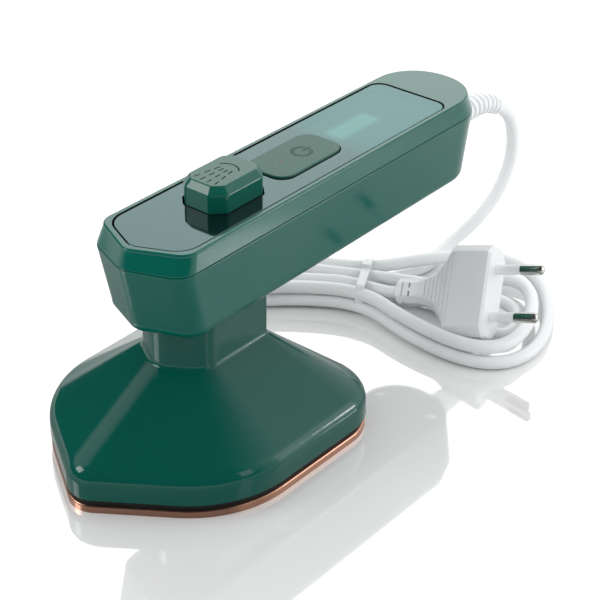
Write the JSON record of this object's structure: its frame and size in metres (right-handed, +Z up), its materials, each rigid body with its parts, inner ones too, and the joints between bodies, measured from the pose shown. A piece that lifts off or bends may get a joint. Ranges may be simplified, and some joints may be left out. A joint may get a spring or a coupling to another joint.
{
  "type": "mini craft iron",
  "caption": "Palm-sized steam iron with a swivelling house-shaped sole, long boxy handle, spray key, clear tank window, bundled cord and two-pin plug.",
  "frame": {"origin": "centre of the ironing face on the swivel axis", "axes": "X across the handle, the sole's tip points along -Y, Z up away from the ironing face"},
  "size_m": [0.1545, 0.252, 0.0943],
  "materials": {
    "green_plastic": "polished moulding",
    "clear_plastic": "clear gloss",
    "tank_plastic": "translucent",
    "black_plastic": "fine matte",
    "pale_plastic": "natural",
    "green_board": "lacquered board",
    "copper_coat": "coppery ceramic coat",
    "cast_aluminium": "as cast",
    "steel": "zinc plated",
    "plug_metal": "nickel plated",
    "clear_silicone": "milky",
    "lead_sheath": "brown sheath",
    "white_vinyl": "satin white"
  },
  "bodies": {
    "handle": {"lower_housing": "green_plastic", "top_frame": "green_plastic", "clear_panel": "clear_plastic", "button_frame": "black_plastic", "circuit_board": "green_board", "board_screws": "steel", "board_components": "black_plastic", "power_switch": "black_plastic", "pump_body": "pale_plastic", "pump_screws": "steel", "pump_spring": "steel", "water_tank": "tank_plastic", "tank_lid": "clear_plastic", "swivel_washer": "pale_plastic", "handle_screws": "steel", "inlet_tube": "clear_silicone", "outlet_tube": "clear_silicone", "handle_leads": "lead_sheath", "supply_leads": "lead_sheath", "inner_cord": "white_vinyl", "cord_clamp": "black_plastic", "cord_clamp_screws": "steel", "strain_relief": "white_vinyl", "free_cord": "white_vinyl", "cord_hank": "white_vinyl", "cord_tie": "white_vinyl", "plug_body": "white_vinyl", "plug_pins": "plug_metal", "pin_sleeves": "white_vinyl"},
    "head": {"head_shell": "green_plastic", "heat_band": "black_plastic", "soleplate": "copper_coat", "heater_block": "cast_aluminium", "head_screws": "steel", "heating_element": "cast_aluminium", "element_clamp": "steel", "element_clamp_screws": "steel", "thermostat": "steel", "thermal_fuse": "steel", "swivel_retainer": "black_plastic", "retainer_screws": "steel", "head_leads": "lead_sheath"},
    "spray_key": {"spray_button": "green_plastic", "pump_plunger": "pale_plastic"},
    "power_key": {"power_button": "green_plastic", "indicator_lens": "clear_plastic", "switch_plunger": "pale_plastic"},
    "filler_stopper": {"filler_plug": "green_plastic"}
  },
  "joints": [
    {"name": "head_swivel", "type": "hinge", "parent": "handle", "child": "head", "pos_m": [0, 0, 0.0531], "axis": [0, 0, 1], "range_deg": [-90, 90]},
    {"name": "spray_press", "type": "slide", "parent": "handle", "child": "spray_key", "axis": [0, 0, -1], "range_m": [0, 0.003], "stiffness_N_per_m": 600, "deforming": ["pump_spring"]},
    {"name": "power_press", "type": "slide", "parent": "handle", "child": "power_key", "axis": [0, 0, -1], "range_m": [0, 0.0005], "stiffness_N_per_m": 2000},
    {"name": "filler_pull", "type": "slide", "parent": "handle", "child": "filler_stopper", "axis": [0, 0, -1], "range_m": [0, 0.006]}
  ]
}
